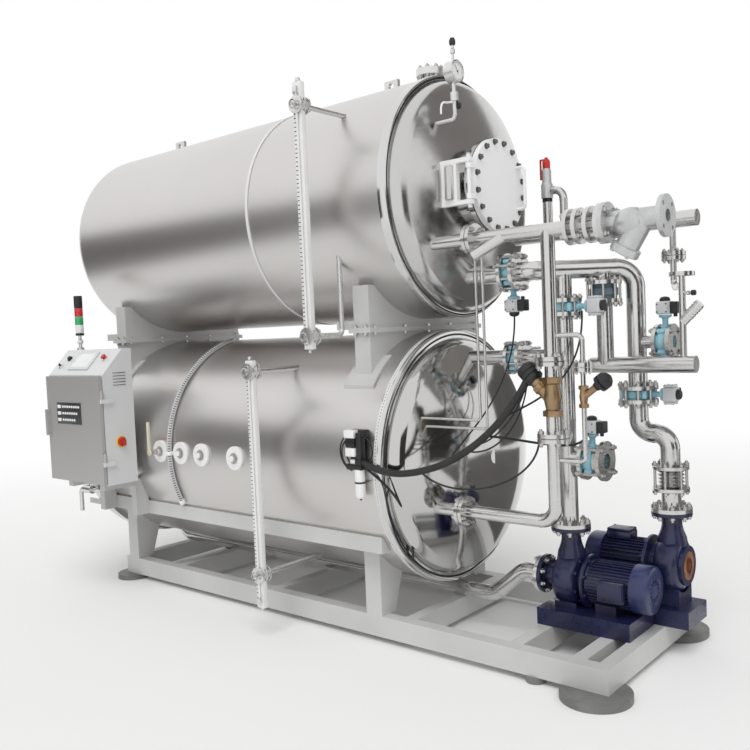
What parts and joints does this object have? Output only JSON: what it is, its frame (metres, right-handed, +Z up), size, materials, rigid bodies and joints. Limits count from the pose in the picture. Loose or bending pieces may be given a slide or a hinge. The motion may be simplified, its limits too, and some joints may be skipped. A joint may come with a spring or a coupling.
{
  "type": "retort sterilizer",
  "caption": "Double-deck retort sterilizer: a hot-water tank over a horizontal retort on a steel frame, with pumps, piping and a control cabinet.",
  "frame": {"origin": "on the floor under the middle of the base frame", "axes": "+X along the vessels to the pipework end, -Y the control side, +Z up"},
  "size_m": [4.0058, 1.6, 2.875],
  "materials": {
    "black_plastic": "black",
    "brushed_cladding": "brushed stainless cladding",
    "cabinet_paint": "light grey fine texture",
    "dark_steel": "dark cast iron",
    "frame_paint": "light grey enamel",
    "grey_plastic": "light grey housing",
    "pad_paint": "dark grey enamel",
    "pipe_steel": "polished stainless pipe",
    "polished_steel": "mirror polished stainless steel",
    "pump_paint": "dark blue enamel",
    "satin_steel": "satin stainless steel",
    "silver_paint": "silver grey paint",
    "valve_brass": "cast brass",
    "valve_paint": "pale blue enamel"
  },
  "bodies": {
    "machine": {"base_long_beams": "frame_paint", "base_cross_beams": "frame_paint", "foot_pads": "pad_paint", "lower_saddle_posts": "frame_paint", "side_rails": "frame_paint", "retort_shell": "brushed_cladding", "retort_rear_head": "polished_steel", "retort_door_ring": "polished_steel", "retort_door": "polished_steel", "tank_shell": "brushed_cladding", "tank_rear_head": "polished_steel", "tank_front_head": "brushed_cladding", "tank_seam_band": "brushed_cladding", "rim_rings": "polished_steel", "saddle_lower_halves": "frame_paint", "saddle_upper_halves": "frame_paint", "manway_neck": "polished_steel", "manway_hinge": "polished_steel", "tank_top_nozzle": "satin_steel", "tank_lifting_lugs": "satin_steel", "tank_pressure_gauge": "satin_steel", "tank_level_gauge": "satin_steel", "retort_level_gauge": "satin_steel", "shell_rosettes": "satin_steel", "sample_cock": "satin_steel", "cable_conduit": "satin_steel", "suction_pipe": "pipe_steel", "drain_valve": "satin_steel", "control_cabinet": "cabinet_paint", "cabinet_controls": "black_plastic", "signal_tower": "black_plastic", "cabinet_brackets": "frame_paint", "air_valve_bank": "black_plastic", "cable_loom": "black_plastic", "pump_casings": "pump_paint", "pump_motors": "pump_paint", "pump_bases": "pump_paint", "steam_pipe": "pipe_steel", "strainer": "silver_paint", "brass_valves": "valve_brass", "brass_valve_actuators": "black_plastic", "steam_riser": "pipe_steel", "bypass_line": "pipe_steel", "impulse_lines": "pipe_steel", "circulation_pipe": "pipe_steel", "front_riser": "pipe_steel", "butterfly_valves": "valve_paint", "valve_actuators": "grey_plastic", "return_check_valve": "dark_steel", "return_riser": "pipe_steel", "vent_header": "pipe_steel", "safety_valve": "silver_paint", "rear_riser": "pipe_steel", "bellows_joint": "pipe_steel", "outlet_flanges": "pipe_steel"},
    "manway_cover": {"manway_cover": "satin_steel"},
    "cabinet_door": {"cabinet_door": "satin_steel"},
    "drain_valve_lever": {"drain_valve_lever": "satin_steel"},
    "sample_cock_lever": {"sample_cock_lever": "satin_steel"}
  },
  "joints": [
    {"name": "cabinet_door_hinge", "type": "hinge", "parent": "machine", "child": "cabinet_door", "pos_m": [-1.192, -0.8975, 1.035], "axis": [0, 0, 1], "range_deg": [0, 110]},
    {"name": "manway_hinge", "type": "hinge", "parent": "machine", "child": "manway_cover", "pos_m": [1.029, -0.345, 2.21], "axis": [0, 0, -1], "range_deg": [0, 100]},
    {"name": "sample_cock_turn", "type": "hinge", "parent": "machine", "child": "sample_cock_lever", "pos_m": [-1.003, -0.7175, 0.896], "axis": [0, 1, 0], "range_deg": [0, 90]},
    {"name": "drain_valve_turn", "type": "hinge", "parent": "machine", "child": "drain_valve_lever", "pos_m": [-1.805, -0.65, 0.64], "axis": [0, 0, 1], "range_deg": [0, 90]}
  ]
}
